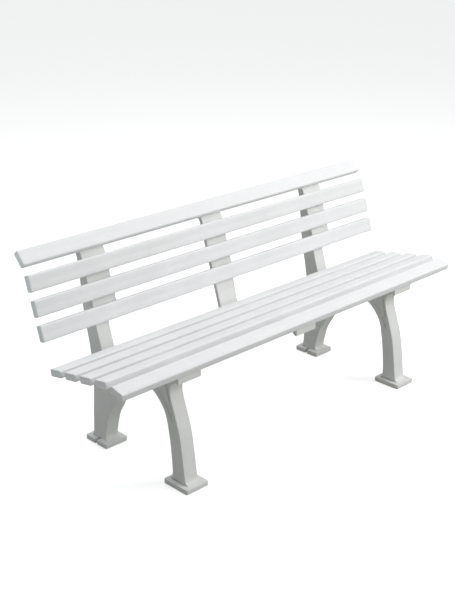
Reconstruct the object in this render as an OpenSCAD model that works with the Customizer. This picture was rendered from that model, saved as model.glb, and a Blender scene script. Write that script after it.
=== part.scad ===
// Garden bench: nine hollow plastic slats on two moulded leg frames and a middle bracket.
// X runs along the bench, -Y is the front, Z is up and 0 on the ground.
// The origin is under the middle of the bench.

/* [Overall] */
// Length of the slats with their end caps
bench_length = 1500; // [1300:10:1800]
// Distance from one support to the next along the bench
support_pitch = 496; // [420:1:560]
// Distance from the middle of a front foot to the middle of a rear foot
foot_spacing = 379; // [370:1:390]

/* [Slats] */
// Width of a slat
slat_width = 51; // [48:0.5:54]
// Thickness of a slat
slat_thickness = 24; // [20:0.5:25]
// Radius of a slat's long edges
slat_edge_radius = 5; // [3:0.5:6]
// Wall thickness of the hollow slats
slat_wall = 3; // [2.5:0.5:3.5]
// Thickness of an end cap's plate
cap_plate = 3; // [2:0.5:5]
// Depth of an end cap's plugs
cap_plug = 12; // [8:1:20]

/* [Seat] */
// Height of the seat slats' upper faces halfway along the flat part of the seat
seat_height = 371; // [365:1:376]
// Rise of the flat part of the seat towards the front, in degrees
seat_rise = 10.5; // [9.5:0.5:11.5]
// Distance from one seat slat to the next
seat_pitch = 72; // [70:0.5:73]
// Fall of the front slat towards the front, in degrees
front_fall = 14.3; // [12:0.1:16]

/* [Back] */
// Lean of the three lower back slats from upright, in degrees
back_lean = 17.5; // [16.5:0.5:18.5]
// Distance from one of the three lower back slats to the next
back_pitch = 75; // [74:0.5:77]
// Lean of the top slat from upright, in degrees
top_lean = 43; // [40:1:45]

/* [Frames] */
// Width of the legs and posts along the bench
leg_width = 50; // [44:1:56]
// Width of the carriers that the slats lie on
carrier_width = 90; // [80:1:100]
// Thickness of the carriers
carrier_thickness = 14; // [12:0.5:16]
// Width of the rib over a recess and of the rim above it
flange = 7; // [6:0.5:8]
// Width of the rim left round the arch
arch_rim = 16; // [12:1:20]
// Depth of the recesses in each side of a frame
recess_depth = 6; // [3:0.5:16]
// Thickness of the middle bracket's stiffening rib
bracket_rib = 12; // [8:1:16]

/* [Feet] */
// Foot plate size along the bench
foot_width = 87; // [80:1:95]
// Foot plate size from front to rear
foot_depth = 103; // [98:1:108]
// Foot plate thickness
foot_thickness = 16; // [14:1:18]
// Radius of the foot plates' corners
foot_corner = 5.5; // [5:0.5:12]
// Width of the anchor notch in each rear foot plate
notch_width = 9; // [7:0.5:12]
// Depth of the anchor notch
notch_depth = 22; // [16:1:28]

/* [Screws] */
// Shank diameter of the slat screws
screw_d = 5; // [4:0.5:5.5]
// Diameter of the screw heads
screw_head_d = 10; // [9:0.5:12]
// Height of the screw heads
screw_head_h = 3.5; // [3:0.5:4.5]
// How far a screw reaches into its slat
screw_bite = 12; // [8:1:15]

/* [Hidden] */
$fn = 48;
steps = 8;                        // pieces in each stretch of a smooth curve
web_at = 8.5;                     // inner webs of a slat, from its middle
web = 2;                          // thickness of those webs
plug_gap = 0.3;                   // room round an end cap's plugs
screw_side = 26;                  // screws beside the ribs, from the middle of a carrier
screw_row = 13;                   // half the distance between the two screws of a pair
hole_gap = 1;                     // screw holes in the carriers are wider than the shank by this
foot_shift = 1.5;                 // foot plates lie off the middle of the leg by this, to the carriers' side

// A place in the side view is [y, z] with y = 0 halfway between the feet.
function along(a) = [cos(a), sin(a)];
function across(a) = [-sin(a), cos(a)];
function meet(p, a, q, b) = p + along(a) * (cross(q - p, along(b)) / cross(along(a), along(b)));

// Smooth curve through points: each stretch is a cubic that leaves along its neighbours' chord.
function spline_at(a, b, c, d, t) =
    0.5 * (2 * b + (c - a) * t + (2 * a - 5 * b + 4 * c - d) * t * t + (3 * b - a - 3 * c + d) * t * t * t);
function smooth(p) =
    let (n = len(p) - 1)
    [for (i = [0 : n - 1], k = [0 : steps - 1])
        spline_at(p[max(i - 1, 0)], p[i], p[i + 1], p[min(i + 2, n)], k / steps), p[n]];

// Slats lie on two straight carrier lines in the seat and two in the back.
half = slat_thickness / 2;
seat_a = -seat_rise;
front_a = front_fall;
back_a = 90 - back_lean;
top_a = 90 - top_lean;
seat_mid = [0, seat_height - half / cos(seat_a)];
front_mid = seat_mid - along(seat_a) * (1.5 * seat_pitch + slat_width / 2)
    - along(front_a) * (slat_width / 2 + 19) + across(front_a) * 1.1;
back_low = [171, 443];
top_mid = back_low + along(back_a) * (2 * back_pitch) + [37.3, 66.1];
function seat_place(i) = [seat_mid + along(seat_a) * ((1.5 - i) * seat_pitch), seat_a];
function back_place(i) = [back_low + along(back_a) * (i * back_pitch), back_a];
seat_places = concat([for (i = [0 : 3]) seat_place(i)], [[front_mid, front_a]]);
back_places = concat([for (i = [0 : 2]) back_place(i)], [[top_mid, top_a]]);

// The carrier lines run along the undersides of the slats.
seat_under = seat_mid - across(seat_a) * half;
front_under = front_mid - across(front_a) * half;
back_under = back_low - across(back_a) * half;
top_under = top_mid - across(top_a) * half;
crest = meet(seat_under, seat_a, front_under, front_a);
heel = meet(seat_under, seat_a, back_under, back_a);
nape = meet(back_under, back_a, top_under, top_a);
nose = front_under - along(front_a) * 21;
nose_low = [nose[0], nose[1] - 22];
tip = nape + along(top_a) * 47;
carrier_low = back_low - along(back_a) * (slat_width / 2 + 4) - across(back_a) * half;
heel_gap = heel - along(seat_a) * 12;

// Whole bench: front edge of the front feet to the rear edge of the top slat's upper screw heads.
front_y = -(foot_spacing + foot_depth) / 2;
rear_y = (top_mid + along(top_a) * (screw_row + screw_head_d / 2)
    - across(top_a) * (half + carrier_thickness + screw_head_h))[0];
centre_y = (front_y + rear_y) / 2;

// Front of the front leg, the arch between the legs, and the rear of leg and post.
leg_front = [[-228, foot_thickness], [-216, 24], [-211, 50], [-203, 110], [-192, 175], [-173, 235],
    [-159, 275], [-155, 303], [-161, 325], nose_low + [16, 0]];
arch = [[-146, foot_thickness], [-157, 24], [-158, 60], [-153, 115], [-145, 170], [-128, 230],
    [-82, 277], [-25, 286], [40, 257], [88, 200], [118, 145], [140, 107], [154, 60], [160, 26],
    [151, foot_thickness]];
rear_edge = [[232, foot_thickness], [221, 26], [216, 100], [210, 180], [209, 260], [220, 335],
    [232, 390], [243, 450], [251, 527], [261, 600],
    tip - along(top_a) * 4 - across(top_a) * (carrier_thickness - 2)];

// The body of a frame stays under the faces of its carriers; below the back it is set further back.
under_face = 5;
set_back = 9.5;
seat_body = seat_under - across(seat_a) * under_face;
front_body = front_under - across(front_a) * under_face;
back_body = back_under - across(back_a) * set_back;
top_body = top_under - across(top_a) * under_face;
body_front = [
    nose + [16, 0],
    meet(seat_body, seat_a, front_body, front_a),
    meet(seat_body, seat_a, back_body, back_a),
    carrier_low - along(back_a) * 9 - across(back_a) * set_back,
    carrier_low - along(back_a) * 3 - across(back_a) * (set_back - 1),
    carrier_low - across(back_a) * (set_back - 4),
    meet(back_body, back_a, top_body, top_a),
    tip - along(top_a) * 4 - across(top_a) * under_face];

// Front edge of the recesses in a frame's sides, the rib across them, and their lower rear corner.
recess_front = [[-161, 202], [-161, 228], [-153, 266], [-148, 300], [-149, 345]];
rib = [[-154, 236], [-116, 360]];
recess_end = [110, 239];
recess_end_a = 125;

module side_view(width) {
    rotate([90, 0, 90])
        linear_extrude(height = width)
            children();
}

module at_slat(place) {
    translate([0, place[0][0], place[0][1]])
        rotate([place[1], 0, 0])
            children();
}

module centred() {
    translate([0, -centre_y, 0])
        children();
}

// Slats

module slat_outline(inset = 0) {
    w = slat_width - 2 * inset;
    t = slat_thickness - 2 * inset;
    r = max(slat_edge_radius - inset, 1);
    square([w - 2 * r, t], center = true);
    square([w, t - 2 * r], center = true);
    for (sy = [-1, 1], sz = [-1, 1])
        translate([sy * (w / 2 - r), sz * (t / 2 - r)])
            circle(r);
}

// The three chambers of a slat, or the plugs that fill them with a gap all round.
module chambers(gap = 0) {
    side = slat_width / 2 - slat_wall - web_at - web / 2;
    height = slat_thickness - 2 * slat_wall - 2 * gap;
    square([2 * web_at - web - 2 * gap, height], center = true);
    for (s = [-1, 1])
        translate([s * (web_at + web / 2 + side / 2), 0])
            square([side - 2 * gap, height], center = true);
}

// Screw places on one slat, [x, u] with u across the slat.
function side_screws(x) = [[x + screw_side, -screw_row], [x + screw_side, screw_row]];
function middle_screws() = [[-screw_side, 0], [screw_side, 0]];
slat_screws = concat(side_screws(-support_pitch), middle_screws(), side_screws(support_pitch));

module slat(place) {
    body_length = bench_length - 2 * cap_plate;
    color("whitesmoke")
        centred()
            at_slat(place)
                difference() {
                    translate([-body_length / 2, 0, 0])
                        side_view(body_length)
                            difference() {
                                slat_outline();
                                chambers();
                            }
                    for (s = slat_screws)
                        translate([s[0], s[1], -half - 1])
                            cylinder(d = screw_d, h = slat_wall + 2);
                }
}

module end_cap(place, side) {
    color("white")
        centred()
            at_slat(place)
                mirror([side < 0 ? 1 : 0, 0, 0])
                    translate([bench_length / 2 - cap_plate, 0, 0]) {
                        side_view(cap_plate)
                            slat_outline();
                        translate([-cap_plug, 0, 0])
                            side_view(cap_plug)
                                chambers(plug_gap);
                    }
}

// Screws: pan heads under the carriers, shanks up into the slats.

module screw() {
    translate([0, 0, -half - carrier_thickness - screw_head_h])
        cylinder(d = screw_head_d, h = screw_head_h);
    translate([0, 0, -half - carrier_thickness])
        cylinder(d = screw_d, h = carrier_thickness + screw_bite);
}

module screws(places, spots) {
    color("silver")
        centred()
            for (place = places, s = spots)
                at_slat(place)
                    translate([s[0], s[1], 0])
                        screw();
}

// Clearance holes through the carriers, widened for the heads where the moulding is deeper.
module screw_holes(spots) {
    for (place = concat(seat_places, back_places), s = spots)
        at_slat(place)
            translate([s[0], s[1], -half - carrier_thickness]) {
                cylinder(d = screw_d + hole_gap, h = carrier_thickness + 1);
                translate([0, 0, -40])
                    cylinder(d = screw_head_d + 2, h = 40);
            }
}

// Carriers: strips of even thickness along the carrier lines.

module strip_2d(points, angles) {
    n = len(points) - 1;
    under = [for (i = [n : -1 : 0])
        i == 0 ? points[0] - across(angles[0]) * carrier_thickness
        : i == n ? points[n] - across(angles[n - 1]) * carrier_thickness
        : meet(points[i] - across(angles[i - 1]) * carrier_thickness, angles[i - 1],
            points[i] - across(angles[i]) * carrier_thickness, angles[i])];
    polygon(concat(points, under));
}

module seat_carrier_2d() {
    strip_2d([nose, crest, heel_gap], [front_a, seat_a]);
    polygon([nose, nose_low, nose_low + [8, 0], nose_low + [16, 5], nose + along(front_a) * 30]);
}

module back_carrier_2d() {
    strip_2d([carrier_low, nape, tip], [back_a, top_a]);
}

// Leg frames

module frame_outline() {
    polygon(concat(smooth(leg_front), body_front, reverse(smooth(rear_edge)), reverse(smooth(arch))));
}

function reverse(p) = [for (i = [len(p) - 1 : -1 : 0]) p[i]];

// A closed curve drawn inwards by d, point by point.
function inward(p, d) =
    let (n = len(p))
    [for (i = [0 : n - 1])
        let (t = p[(i + 1) % n] - p[(i + n - 1) % n])
        p[i] + [t[1], -t[0]] * (d / norm(t))];

module recess_2d() {
    arch_line = inward(reverse(smooth([for (i = [5 : 9]) arch[i]])), arch_rim);
    down = -across(seat_a) * (carrier_thickness + flange);
    difference() {
        polygon(concat(
            smooth(recess_front),
            [crest + down, meet(seat_under + down, seat_a, recess_end, recess_end_a), recess_end],
            [for (i = [3 : len(arch_line) - 2]) arch_line[i]]));
        rib_2d(rib[0], rib[1]);
    }
}

module rib_2d(a, b) {
    side = [-(b - a)[1], (b - a)[0]] * (flange / 2 / norm(b - a));
    polygon([a - side, b - side, b + side, a + side]);
}

module foot_plate(y, notched) {
    r = foot_corner;
    translate([leg_width / 2 + foot_shift, y, 0])
        difference() {
            linear_extrude(height = foot_thickness)
                union() {
                    square([foot_width - 2 * r, foot_depth], center = true);
                    square([foot_width, foot_depth - 2 * r], center = true);
                    for (sx = [-1, 1], sy = [-1, 1])
                        translate([sx * (foot_width / 2 - r), sy * (foot_depth / 2 - r)])
                            circle(r);
                }
            if (notched)
                translate([-foot_width / 2 + notch_depth - notch_width / 2, 0, -1]) {
                    cylinder(d = notch_width, h = foot_thickness + 2);
                    translate([-notch_depth, -notch_width / 2, 0])
                        cube([notch_depth, notch_width, foot_thickness + 2]);
                }
        }
}

module leg_frame(x) {
    color("white")
        centred()
            difference() {
                translate([x - carrier_width / 2, 0, 0]) {
                    difference() {
                        side_view(leg_width)
                            frame_outline();
                        translate([-1, 0, 0])
                            side_view(recess_depth + 1)
                                recess_2d();
                        translate([leg_width - recess_depth, 0, 0])
                            side_view(recess_depth + 1)
                                recess_2d();
                    }
                    side_view(carrier_width)
                        seat_carrier_2d();
                    side_view(carrier_width)
                        back_carrier_2d();
                    foot_plate(-foot_spacing / 2, false);
                    foot_plate(foot_spacing / 2, true);
                }
                screw_holes(side_screws(x));
            }
}

// Middle bracket: the same carriers on one bent plate, stiffened by a rib below and behind.

module bracket_rib_2d() {
    low = crest - across(seat_a) * 38 + [20, 0];
    polygon([nose + along(front_a) * 12 - across(front_a) * 6, crest - [0, 4], heel + [4, -4],
        nape - across(back_a) * 4, tip - along(top_a) * 8 - across(top_a) * 6, nape - across(back_a) * 30,
        carrier_low - across(back_a) * 34, heel - across(back_a) * 52 - across(seat_a) * 30,
        heel - across(seat_a) * 44, low]);
}

module middle_bracket() {
    lower_width = carrier_width - 12;
    color("white")
        centred()
            difference() {
                union() {
                    translate([-carrier_width / 2, 0, 0]) {
                        side_view(carrier_width)
                            seat_carrier_2d();
                        side_view(carrier_width)
                            back_carrier_2d();
                        side_view(lower_width)
                            strip_2d([crest + along(seat_a) * 150, heel, carrier_low + along(back_a) * 2],
                                [seat_a, back_a]);
                    }
                    translate([-bracket_rib / 2, 0, 0])
                        side_view(bracket_rib)
                            bracket_rib_2d();
                }
                screw_holes(middle_screws());
            }
}

// Nodes

seat_slat_names = ["seat_slat_1", "seat_slat_2", "seat_slat_3", "seat_slat_4", "front_slat"];
back_slat_names = ["back_slat_1", "back_slat_2", "back_slat_3", "top_slat"];
slat_names = concat(seat_slat_names, back_slat_names);
slat_places = concat(seat_places, back_places);

leg_frame(-support_pitch);  // left_leg_frame
leg_frame(support_pitch);  // right_leg_frame
middle_bracket();
for (i = [0 : len(slat_names) - 1]) {
    slat(slat_places[i]);
    end_cap(slat_places[i], -1);
    end_cap(slat_places[i], 1);
}
screws(seat_places, side_screws(-support_pitch));  // left_seat_screws
screws(back_places, side_screws(-support_pitch));  // left_back_screws
screws(seat_places, middle_screws());  // middle_seat_screws
screws(back_places, middle_screws());  // middle_back_screws
screws(seat_places, side_screws(support_pitch));  // right_seat_screws
screws(back_places, side_screws(support_pitch));  // right_back_screws
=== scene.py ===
"""White plastic garden bench: nine hollow slats on two moulded leg frames and a middle bracket."""

import math

import bmesh
import bpy
from mathutils import Matrix, Vector


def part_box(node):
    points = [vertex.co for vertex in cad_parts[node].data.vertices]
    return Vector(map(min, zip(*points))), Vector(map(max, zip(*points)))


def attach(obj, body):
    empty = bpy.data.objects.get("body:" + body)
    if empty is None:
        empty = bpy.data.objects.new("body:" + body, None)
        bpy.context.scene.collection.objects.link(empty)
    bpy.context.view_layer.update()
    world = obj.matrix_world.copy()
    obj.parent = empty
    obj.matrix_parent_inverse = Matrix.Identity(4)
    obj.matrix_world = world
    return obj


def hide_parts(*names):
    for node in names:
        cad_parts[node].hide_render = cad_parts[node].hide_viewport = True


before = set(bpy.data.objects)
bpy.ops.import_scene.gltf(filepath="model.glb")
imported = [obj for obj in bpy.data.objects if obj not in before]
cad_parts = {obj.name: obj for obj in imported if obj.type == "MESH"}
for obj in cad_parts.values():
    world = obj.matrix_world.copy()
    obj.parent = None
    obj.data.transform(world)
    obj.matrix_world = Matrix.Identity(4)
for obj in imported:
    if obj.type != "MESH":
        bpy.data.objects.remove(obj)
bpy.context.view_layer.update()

MM = 0.001

# Slats, drawn as a rounded rectangle with three chambers.
SLAT_WIDTH = 51 * MM
SLAT_THICKNESS = 24 * MM
SLAT_EDGE = 5 * MM        # radius of the four long edges
SLAT_WALL = 3 * MM
WEB_AT = 8.5 * MM         # distance of each inner web from the middle
WEB = 2 * MM
CHAMBER_EDGE = 1 * MM     # radius of the chambers' corners
RIDGE_AT = 13.5 * MM      # distance of each outer ridge from the middle
DISH = 0.45 * MM          # how far the wide faces sink between the ridges
SHOULDER = 0.4            # share of that by which they sink outside the ridges
END_CHAMFER = 0.7 * MM
LEAST_EDGE = 1 * MM       # radius that an inset outline keeps at its corners
NOT_AN_END = 0.1          # faces with less than this of their normal along the slat aren't its ends
CORNER_STEPS = 6
FACE_STEPS = 16

# End caps: a plate with a rounded rim, and plugs that reach into the chambers.
CAP_PLATE = 3 * MM
CAP_PLUG = 12 * MM
PLUG_GAP = 0.3 * MM
CAP_SEAM = 0.6 * MM       # depth of the small groove where the cap meets its slat
CAP_RIM = 1.9 * MM        # radius of the outer rim
CAP_BORDER = 4.0 * MM     # width of the flat border round the sunk middle
CAP_FIELD = 4.7 * MM      # distance of the sunk middle from the outline
CAP_SUNK = 0.5 * MM
RIM_STEPS = 5

# Screws.
CARRIER = 14 * MM         # thickness of moulding under each screw's head
SHANK_RADIUS = 2.5 * MM
TIP_RADIUS = 0.6 * MM
TIP_LENGTH = 3 * MM
HEAD_RADIUS = 5 * MM
HEAD_HEIGHT = 3.5 * MM
HEAD_CURVE = [(1, 0), (1, 0.25), (0.93, 0.6), (0.76, 0.88), (0.56, 0.99)]  # shares of radius and height
CROSS_ARM = 2.2 * MM
CROSS_HALF_WIDTH = 0.6 * MM
CROSS_TAPER = 0.5         # size of the recess at its floor, as a share of its mouth
CROSS_FLOOR = 0.4         # height of its floor, as a share of the head's height
SCREW_BITE = 12 * MM      # how far a screw reaches into its slat
SCREW_ROW = 13 * MM       # distance of a leg frame's screws from the middle of a slat
SCREW_SIDES = 20

# Rounding of the moulded frames' edges.
FRAME_EDGE = 1.8 * MM
EDGE_STEPS = 3
SHARP_ANGLE = math.radians(25)
HOLE_CLEARANCE = 7 * MM   # edges closer than this to a screw's axis stay as they are
SAME_POINT = 0.01 * MM
SAME_ROUNDED_POINT = 0.001 * MM

# Edges of finished pieces that turn by more than this are shaded sharp.
SHADE_SHARP = math.radians(38)

# Camera: where it stands and how it looks at the bench, in metres and degrees.
CAMERA_PLACE = Vector((-2.3811, -2.3166, 1.7092))
CAMERA_AZIMUTH = -44.088
CAMERA_ELEVATION = 21.965
CAMERA_ROLL = -0.086
CAMERA_LENS = 64.689
CAMERA_SENSOR = 36

# Studio: the floor and sky as the camera sees them, and as they light the bench.
FLOOR_SIZE = 30
FLOOR_SHOWN = (0.97, 0.97, 0.97)
FLOOR_BOUNCE = (0.46, 0.465, 0.44)
FLOOR_GLOW = 0.5
SKY_COLOUR = (0.97, 0.99, 1, 1)
SKY_LIGHT = 0.28
SKY_SHOWN = 1.0
WHITE = (1, 1, 1)

# Grain directions for noise: the same every way, or drawn out along one axis.
EVEN = (1, 1, 1)
ALONG_SLAT = (0.04, 1, 1)
UPRIGHT = (1, 1, 0.12)
BLOTCHY = (0.4, 1, 1)
STREAK_SHARE = 0.18       # scale of the streaks, as a share of the fine grain's

SEAT_SLATS = ["seat_slat_1", "seat_slat_2", "seat_slat_3", "seat_slat_4", "front_slat"]
BACK_SLATS = ["back_slat_1", "back_slat_2", "back_slat_3", "top_slat"]
FRAMES = ["left_leg_frame", "right_leg_frame", "middle_bracket"]
SUPPORTS = ["left", "middle", "right"]


# Mesh helpers

def finish_piece(bm, name, material, node):
    """Turns bm into a smooth-shaded piece that stands for the CAD node."""
    bmesh.ops.recalc_face_normals(bm, faces=bm.faces)
    mesh = bpy.data.meshes.new(name)
    bm.to_mesh(mesh)
    bm.free()
    mesh.shade_smooth()
    mesh.set_sharp_from_angle(angle=SHADE_SHARP)
    mesh.materials.append(material)
    piece = bpy.data.objects.new(name, mesh)
    bpy.context.collection.objects.link(piece)
    even = piece.modifiers.new("even_normals", "WEIGHTED_NORMAL")
    even.keep_sharp = True
    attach(piece, "root")
    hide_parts(node)


def add_loop(bm, points):
    """Vertices at the points, in order, to be joined as a closed loop."""
    return [bm.verts.new(p) for p in points]


def skin(bm, first, second):
    """Quads between two closed loops with the same number of points."""
    count = len(first)
    for i in range(count):
        bm.faces.new((first[i], first[(i + 1) % count], second[(i + 1) % count], second[i]))


def loop_edges(bm, loop):
    """Edges round a closed loop, made where there are none yet."""
    pairs = [(loop[i], loop[(i + 1) % len(loop)]) for i in range(len(loop))]
    return [bm.edges.get(pair) or bm.edges.new(pair) for pair in pairs]


def fill_between(bm, *loops):
    """Flat face inside the first loop, with the other loops as holes in it."""
    edges = [edge for loop in loops for edge in loop_edges(bm, loop)]
    bmesh.ops.triangle_fill(bm, use_beauty=True, use_dissolve=False, edges=edges)


# Slats and caps, drawn in a slat's own directions: x along it, y across it, z out of its upper face.

def slat_place(node):
    """Matrix from a slat's own directions to the bench, read off its CAD solid."""
    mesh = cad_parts[node].data
    low, high = (Vector(c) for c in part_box(node))
    flats = [p for p in mesh.polygons if abs(p.normal.x) < NOT_AN_END]
    out = max(flats, key=lambda p: p.area).normal.copy()
    if out.z < 0:
        out.negate()
    across = out.cross(Vector((1, 0, 0)))
    turn = Matrix((Vector((1, 0, 0)), across, out)).transposed().to_4x4()
    return Matrix.Translation((low + high) / 2) @ turn


def rounded_box(half_w, half_t, radius, flat_steps=1):
    """Points (y, z) round a rectangle with rounded corners; flat_steps divides its wide sides."""
    points = []
    for quarter, (side, face) in enumerate(((1, 1), (-1, 1), (-1, -1), (1, -1))):
        for i in range(CORNER_STEPS + 1):
            turn = math.radians(90 * (quarter + i / CORNER_STEPS))
            points.append((side * (half_w - radius) + radius * math.cos(turn),
                           face * (half_t - radius) + radius * math.sin(turn)))
        if quarter in (0, 2):
            for i in range(1, flat_steps):
                points.append((side * (half_w - radius) * (1 - 2 * i / flat_steps), face * half_t))
    return points


def slat_outline(inset=0.0):
    """A slat's outside, with wide faces that sink between two ridges and a little outside them."""
    half_w, half_t = SLAT_WIDTH / 2 - inset, SLAT_THICKNESS / 2 - inset
    radius = max(SLAT_EDGE - inset, LEAST_EDGE)
    flat = half_w - radius

    def sink(y):
        y = min(abs(y), flat)
        if y < RIDGE_AT:
            return DISH * math.cos(math.pi * y / RIDGE_AT / 2) ** 2
        return SHOULDER * DISH * ((y - RIDGE_AT) / (SLAT_WIDTH / 2 - SLAT_EDGE - RIDGE_AT)) ** 2

    return [(y, z * (1 - sink(y) / half_t)) for y, z in rounded_box(half_w, half_t, radius, FACE_STEPS)]


def chambers(gap=0.0):
    """Outlines of a slat's three chambers, or of the cap plugs that leave a gap in them."""
    half_t = SLAT_THICKNESS / 2 - SLAT_WALL - gap
    side_width = SLAT_WIDTH / 2 - SLAT_WALL - WEB_AT - WEB / 2
    side_at = WEB_AT + WEB / 2 + side_width / 2
    middle = rounded_box(WEB_AT - WEB / 2 - gap, half_t, CHAMBER_EDGE)
    side = rounded_box(side_width / 2 - gap, half_t, CHAMBER_EDGE)
    return [middle] + [[(y + shift, z) for y, z in side] for shift in (-side_at, side_at)]


def section(bm, place, x, points):
    """Loop of a slat's or cap's section, at x along the slat."""
    return add_loop(bm, [place @ Vector((x, y, z)) for y, z in points])


def make_slat(node):
    """Hollow slat, open at both ends, with chamfered ends."""
    bm = bmesh.new()
    place = slat_place(node)
    low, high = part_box(node)
    half = (high[0] - low[0]) / 2
    ends = [(-half, END_CHAMFER), (-half + END_CHAMFER, 0), (half - END_CHAMFER, 0), (half, END_CHAMFER)]
    outside = [section(bm, place, x, slat_outline(inset)) for x, inset in ends]
    inside = [[section(bm, place, x, points) for x in (-half, half)] for points in chambers()]
    for first, second in zip(outside, outside[1:]):
        skin(bm, first, second)
    for first, second in inside:
        skin(bm, first, second)
    fill_between(bm, outside[0], *[loops[0] for loops in inside])
    fill_between(bm, outside[-1], *[loops[1] for loops in inside])
    finish_piece(bm, node + "_profile", SLAT_PLASTIC, node)


def cap_steps():
    """A cap plate's shape, as pairs of distance from its back and inset from the slat's outline."""
    steps = [(0, END_CHAMFER), (CAP_SEAM, 0), (CAP_PLATE - CAP_RIM, 0)]
    for i in range(1, RIM_STEPS + 1):
        turn = math.radians(90 * i / RIM_STEPS)
        steps.append((CAP_PLATE - CAP_RIM + CAP_RIM * math.sin(turn), CAP_RIM * (1 - math.cos(turn))))
    return steps + [(CAP_PLATE, CAP_BORDER), (CAP_PLATE - CAP_SUNK, CAP_FIELD)]


def make_cap(slat, end):
    """End cap: a plate with a rounded rim and a slightly sunk middle, and three plugs behind it."""
    side = 1 if end == "right" else -1
    node = f"{slat}_{end}_cap"
    bm = bmesh.new()
    place = slat_place(slat)
    low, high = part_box(slat)
    back = (high[0] - low[0]) / 2
    rings = [section(bm, place, side * (back + x), slat_outline(inset)) for x, inset in cap_steps()]
    for first, second in zip(rings, rings[1:]):
        skin(bm, first, second)
    fill_between(bm, rings[-1])
    roots = [section(bm, place, side * back, points) for points in chambers(PLUG_GAP)]
    fill_between(bm, rings[0], *roots)
    for root, points in zip(roots, chambers(PLUG_GAP)):
        tip = section(bm, place, side * (back - CAP_PLUG), points)
        skin(bm, root, tip)
        fill_between(bm, tip)
    finish_piece(bm, node + "_plate", CAP_PLASTIC, node)


# Screws

def circle(radius):
    """Points (x, y) round a screw's section."""
    turns = [math.tau * i / SCREW_SIDES for i in range(SCREW_SIDES)]
    return [(radius * math.cos(t), radius * math.sin(t)) for t in turns]


def cross():
    """Outline (x, y) of the cross recess in a screw's head."""
    quarter = [(CROSS_ARM, -CROSS_HALF_WIDTH), (CROSS_ARM, CROSS_HALF_WIDTH),
               (CROSS_HALF_WIDTH, CROSS_HALF_WIDTH)]
    outline = []
    for i in range(4):
        turn = Matrix.Rotation(math.radians(90 * i), 2)
        outline += [turn @ Vector(corner) for corner in quarter]
    return outline


def add_screw(bm, place, x, y):
    """Pan head screw with a cross recess, driven up through the carrier into the slat."""
    def ring(points, z, scale=1):
        return add_loop(bm, [place @ Vector((x + scale * px, y + scale * py, z)) for px, py in points])

    seat = -SLAT_THICKNESS / 2 - CARRIER
    tip = -SLAT_THICKNESS / 2 + SCREW_BITE
    profile = [(TIP_RADIUS, tip), (SHANK_RADIUS, tip - TIP_LENGTH), (SHANK_RADIUS, seat)]
    profile += [(wide * HEAD_RADIUS, seat - tall * HEAD_HEIGHT) for wide, tall in HEAD_CURVE]
    rings = [ring(circle(radius), z) for radius, z in profile]
    for first, second in zip(rings, rings[1:]):
        skin(bm, first, second)
    fill_between(bm, rings[0])
    mouth = ring(cross(), seat - HEAD_HEIGHT)
    floor = ring(cross(), seat - CROSS_FLOOR * HEAD_HEIGHT, CROSS_TAPER)
    fill_between(bm, rings[-1], mouth)
    skin(bm, mouth, floor)
    fill_between(bm, floor)


def screw_spots(node):
    """Places (x, y across the slat) of one slat's screws, from the box of their CAD solids."""
    low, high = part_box(node)
    if node.startswith("middle"):
        return [(low[0] + HEAD_RADIUS, 0), (high[0] - HEAD_RADIUS, 0)]
    middle = (low[0] + high[0]) / 2
    return [(middle, -SCREW_ROW), (middle, SCREW_ROW)]


def make_screws(support, part):
    """All screws of one support in the seat or in the back, as one piece."""
    node = f"{support}_{part}_screws"
    bm = bmesh.new()
    for slat in SEAT_SLATS if part == "seat" else BACK_SLATS:
        for x, y in screw_spots(node):
            add_screw(bm, slat_place(slat), x, y)
    finish_piece(bm, node + "_heads", SCREW_STEEL, node)


# Moulded frames: the CAD solids with their sharp edges rounded.

def screw_axes(support):
    """Centre line, as a point and a direction, of every screw in a support."""
    axes = []
    for part, slats in (("seat", SEAT_SLATS), ("back", BACK_SLATS)):
        for slat in slats:
            place = slat_place(slat)
            for x, y in screw_spots(f"{support}_{part}_screws"):
                axes.append((place @ Vector((x, y, 0)), place.to_3x3() @ Vector((0, 0, 1))))
    return axes


def make_frame(node):
    """Leg frame or bracket, rounded along its sharp edges except round the screw holes."""
    axes = screw_axes(node.split("_")[0])
    bm = bmesh.new()
    bm.from_mesh(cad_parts[node].data)
    bmesh.ops.remove_doubles(bm, verts=bm.verts, dist=SAME_POINT)

    def at_hole(vertex):
        return any((vertex.co - point).cross(along).length < HOLE_CLEARANCE for point, along in axes)

    sharp = [edge for edge in bm.edges
             if edge.is_manifold and edge.calc_face_angle() > SHARP_ANGLE
             and not any(at_hole(v) for v in edge.verts)]
    bmesh.ops.bevel(bm, geom=sharp, offset=FRAME_EDGE, segments=EDGE_STEPS, profile=0.5,
                    affect="EDGES", clamp_overlap=False, loop_slide=False)
    bmesh.ops.remove_doubles(bm, verts=bm.verts, dist=SAME_ROUNDED_POINT)
    finish_piece(bm, node + "_moulding", FRAME_PLASTIC, node)


# Materials

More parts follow.
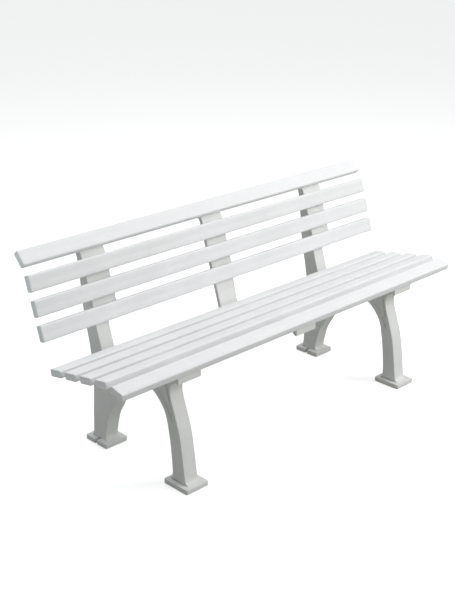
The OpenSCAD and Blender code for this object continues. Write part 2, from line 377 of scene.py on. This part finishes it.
class Nodes:
    """Short calls for building one material's node tree."""

    def __init__(self, name):
        self.material = bpy.data.materials.new(name)
        self.material.use_nodes = True
        self.tree = self.material.node_tree
        self.shader = self.tree.nodes["Principled BSDF"]
        self.place = self.add("ShaderNodeTexCoord").outputs["Object"]

    def add(self, kind, **settings):
        """New node of this kind, with its settings."""
        node = self.tree.nodes.new(kind)
        for key, value in settings.items():
            setattr(node, key, value)
        return node

    def link(self, source, target):
        """Joins an output socket to an input socket."""
        self.tree.links.new(source, target)

    def noise(self, stretch, scale, detail, roughness=0.55):
        """Noise whose grain is stretched by the three numbers in stretch."""
        mapping = self.add("ShaderNodeMapping")
        mapping.inputs["Scale"].default_value = stretch
        self.link(self.place, mapping.inputs["Vector"])
        noise = self.add("ShaderNodeTexNoise")
        noise.inputs["Scale"].default_value = scale
        noise.inputs["Detail"].default_value = detail
        noise.inputs["Roughness"].default_value = roughness
        self.link(mapping.outputs["Vector"], noise.inputs["Vector"])
        return noise.outputs["Fac"]

    def spread(self, value, low, high, from_low=0.3, from_high=0.7):
        """Maps the range from_low..from_high, where noise mostly lies, to low..high."""
        node = self.add("ShaderNodeMapRange")
        node.inputs["From Min"].default_value = from_low
        node.inputs["From Max"].default_value = from_high
        node.inputs["To Min"].default_value = low
        node.inputs["To Max"].default_value = high
        self.link(value, node.inputs["Value"])
        return node.outputs["Result"]

    def blend(self, factor, first, second):
        """Colour mix; first and second are colours or sockets."""
        node = self.add("ShaderNodeMix", data_type="RGBA")
        self.link(factor, node.inputs["Factor"])
        # A Mix node has sockets for every data type; 6, 7 and the output 2 are the colour ones.
        for socket, value in ((node.inputs[6], first), (node.inputs[7], second)):
            if isinstance(value, tuple):
                socket.default_value = (*value, 1)
            else:
                self.link(value, socket)
        return node.outputs[2]

    def bump(self, height, strength, distance, under=None):
        """Bump normal, on top of the bump in under if one is given."""
        node = self.add("ShaderNodeBump")
        node.inputs["Strength"].default_value = strength
        node.inputs["Distance"].default_value = distance
        self.link(height, node.inputs["Height"])
        if under is not None:
            self.link(under, node.inputs["Normal"])
        return node.outputs["Normal"]


def white_plastic(name, colour, dull, grain, grain_scale, grain_depth):
    """White plastic that has stood outside: faint mottling, fine grain and soft, uneven sheen."""
    m = Nodes(name)
    cloud = m.noise(EVEN, scale=9, detail=4)
    blotch = m.noise(BLOTCHY, scale=110, detail=3, roughness=0.6)
    streak = m.noise(grain, scale=grain_scale * STREAK_SHARE, detail=3)
    fine = m.noise(grain, scale=grain_scale, detail=4, roughness=0.65)
    tone = m.blend(m.spread(cloud, 0, 1), dull, colour)
    tone = m.blend(m.spread(blotch, 0, 0.6), tone, dull)
    tone = m.blend(m.spread(streak, 0, 0.3), tone, dull)
    tone = m.blend(m.spread(fine, 0, 0.25), tone, dull)
    m.link(tone, m.shader.inputs["Base Color"])
    m.link(m.spread(fine, 0.42, 0.6), m.shader.inputs["Roughness"])
    m.shader.inputs["IOR"].default_value = 1.49
    uneven = m.bump(blotch, strength=0.35, distance=0.5 * MM)
    broad = m.bump(streak, strength=0.25, distance=0.4 * MM, under=uneven)
    close = m.bump(fine, strength=0.5, distance=grain_depth, under=broad)
    m.link(close, m.shader.inputs["Normal"])
    return m.material


def zinc_steel():
    """Zinc plated steel with small spots and a dull haze."""
    m = Nodes("screw_steel")
    spots = m.noise(EVEN, scale=900, detail=3)
    haze = m.noise(EVEN, scale=160, detail=2)
    tone = m.blend(m.spread(spots, 0, 1), (0.50, 0.50, 0.51), (0.66, 0.66, 0.66))
    tone = m.blend(m.spread(haze, 0, 0.5), tone, (0.42, 0.40, 0.36))
    m.link(tone, m.shader.inputs["Base Color"])
    m.link(m.spread(spots, 0.28, 0.48), m.shader.inputs["Roughness"])
    m.shader.inputs["Metallic"].default_value = 1.0
    m.link(m.bump(spots, strength=0.3, distance=0.05 * MM), m.shader.inputs["Normal"])
    return m.material


def floor_material():
    """White floor that glows to the camera alone, and lights the bench less than it shows."""
    m = Nodes("studio_floor")
    m.shader.inputs["Roughness"].default_value = 0.9
    m.shader.inputs["Specular IOR Level"].default_value = 0.1
    seen = m.add("ShaderNodeLightPath").outputs["Is Camera Ray"]
    glow = m.spread(seen, 0, FLOOR_GLOW, from_low=0, from_high=1)
    m.shader.inputs["Emission Color"].default_value = (*WHITE, 1)
    m.link(glow, m.shader.inputs["Emission Strength"])
    m.link(m.blend(seen, FLOOR_BOUNCE, FLOOR_SHOWN), m.shader.inputs["Base Color"])
    return m.material


# Studio

def make_floor():
    """Wide flat floor under the bench."""
    bm = bmesh.new()
    bmesh.ops.create_grid(bm, x_segments=2, y_segments=2, size=FLOOR_SIZE)
    mesh = bpy.data.meshes.new("studio_floor")
    bm.to_mesh(mesh)
    bm.free()
    mesh.materials.append(floor_material())
    floor = bpy.data.objects.new("studio_floor", mesh)
    bpy.context.collection.objects.link(floor)


def hang(name, light, place, target):
    """Puts a light at place, turned towards target."""
    lamp = bpy.data.objects.new(name, light)
    lamp.location = place
    lamp.rotation_euler = (Vector(target) - Vector(place)).to_track_quat("-Z", "Y").to_euler()
    bpy.context.collection.objects.link(lamp)


def area_light(name, place, target, size, power, colour=WHITE):
    """Square soft light; size in metres, power in watts."""
    light = bpy.data.lights.new(name, "AREA")
    light.shape = "SQUARE"
    light.size = size
    light.energy = power
    light.color = colour
    hang(name, light, place, target)


def sun_light(name, place, spread, strength):
    """Even light over the whole bench from the side where place is; spread in degrees."""
    light = bpy.data.lights.new(name, "SUN")
    light.angle = math.radians(spread)
    light.energy = strength
    light.color = WHITE
    hang(name, light, place, target=(0, 0, 0))


def make_sky():
    """Pale world that looks brighter to the camera than the light it gives."""
    world = bpy.data.worlds.new("studio")
    world.use_nodes = True
    tree = world.node_tree
    background = tree.nodes["Background"]
    background.inputs["Color"].default_value = SKY_COLOUR
    path = tree.nodes.new("ShaderNodeLightPath")
    strength = tree.nodes.new("ShaderNodeMapRange")
    strength.inputs["To Min"].default_value = SKY_LIGHT
    strength.inputs["To Max"].default_value = SKY_SHOWN
    tree.links.new(path.outputs["Is Camera Ray"], strength.inputs["Value"])
    tree.links.new(strength.outputs["Result"], background.inputs["Strength"])
    bpy.context.scene.world = world


def make_light():
    """Soft light from above and the right, a weak fill at the left, and two wide low lights."""
    make_sky()
    area_light("overhead", (0.3, 0.2, 3.6), (0.1, 0, 0.3), size=3.0, power=60)
    area_light("front_right", (1.9, -1.9, 2.0), (0.1, 0, 0.35), size=1.2, power=39)
    area_light("left_fill", (-1.2, 0.3, 0.9), (-0.75, 0.1, 0.5), size=0.4, power=0.95,
               colour=(0.84, 0.96, 1))
    sun_light("front_low", (0.6, -2.0, 0.9), spread=50, strength=0.44)
    sun_light("rear", (0.6, 2.0, 0.7), spread=60, strength=0.5)


def make_camera():
    """Camera at the photograph's viewing angle."""
    azimuth, elevation = math.radians(CAMERA_AZIMUTH), math.radians(CAMERA_ELEVATION)
    back = Vector((math.sin(azimuth) * math.cos(elevation),
                   -math.cos(azimuth) * math.cos(elevation),
                   math.sin(elevation)))
    turn = back.to_track_quat("Z", "Y").to_matrix().to_4x4()
    roll = Matrix.Rotation(math.radians(CAMERA_ROLL), 4, "Z")
    camera = bpy.data.objects.new("camera", bpy.data.cameras.new("camera"))
    camera.data.lens = CAMERA_LENS
    camera.data.sensor_width = CAMERA_SENSOR
    camera.matrix_world = Matrix.Translation(CAMERA_PLACE) @ turn @ roll
    bpy.context.collection.objects.link(camera)
    bpy.context.scene.camera = camera


SLAT_PLASTIC = white_plastic("slat_plastic", colour=(0.88, 0.885, 0.89), dull=(0.80, 0.805, 0.81),
                             grain=ALONG_SLAT, grain_scale=700, grain_depth=0.12 * MM)
CAP_PLASTIC = white_plastic("cap_plastic", colour=(0.92, 0.925, 0.93), dull=(0.86, 0.865, 0.87),
                            grain=EVEN, grain_scale=500, grain_depth=0.06 * MM)
FRAME_PLASTIC = white_plastic("frame_plastic", colour=(0.875, 0.88, 0.865), dull=(0.785, 0.79, 0.77),
                              grain=UPRIGHT, grain_scale=420, grain_depth=0.10 * MM)
SCREW_STEEL = zinc_steel()

for slat in SEAT_SLATS + BACK_SLATS:
    make_slat(slat)
    make_cap(slat, "left")
    make_cap(slat, "right")
for support in SUPPORTS:
    make_screws(support, "seat")
    make_screws(support, "back")
for node in FRAMES:
    make_frame(node)

make_floor()
make_light()
make_camera()
bpy.context.scene.view_settings.view_transform = "Standard"
